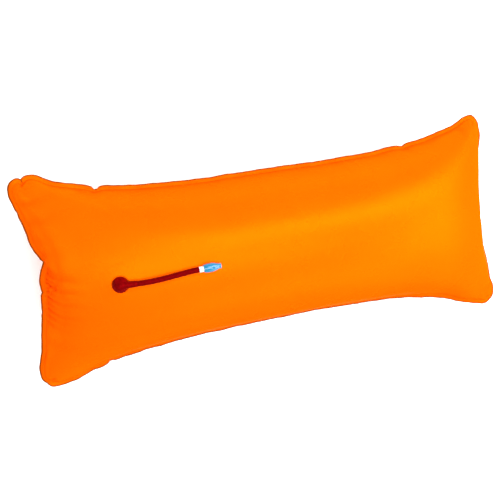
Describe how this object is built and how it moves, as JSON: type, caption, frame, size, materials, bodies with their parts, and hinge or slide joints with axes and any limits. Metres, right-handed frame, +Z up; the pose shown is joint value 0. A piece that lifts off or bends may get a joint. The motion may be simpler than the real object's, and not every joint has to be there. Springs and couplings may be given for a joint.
{
  "type": "inflatable buoyancy bag",
  "caption": "Pillow-shaped inflatable buoyancy bag of orange coated fabric with a welded rim and a short filling hose that ends in a sprung mouth valve.",
  "frame": {"origin": "on the ground, under the middle of the bag as it lies on its back panel", "axes": "+X along the bag, the way the filling hose points; +Z up, out of the panel that carries the hose"},
  "size_m": [0.929, 0.3882, 0.2681],
  "materials": {
    "coated_fabric": "satin, coated",
    "patch_fabric": "matt, coated",
    "boot_rubber": "satin",
    "hose_rubber": "satin",
    "white_nylon": "satin",
    "blue_plastic": "gloss, slightly see-through",
    "seal_rubber": "matt",
    "spring_steel": "bright wire"
  },
  "bodies": {
    "bag": {"front_panel": "coated_fabric", "back_panel": "coated_fabric", "reinforcement_patch": "patch_fabric", "hose_boot": "boot_rubber", "fill_hose": "hose_rubber", "valve_body": "white_nylon", "return_spring": "spring_steel"},
    "mouthpiece": {"mouthpiece": "blue_plastic", "poppet": "white_nylon", "poppet_seal": "seal_rubber"}
  },
  "joints": [
    {"name": "mouthpiece_press", "type": "slide", "parent": "bag", "child": "mouthpiece", "axis": [-0.9994, -0.024, -0.0241], "range_m": [0, 0.003], "stiffness_N_per_m": 300, "springref_m": -0.003, "deforming": ["return_spring"]}
  ]
}
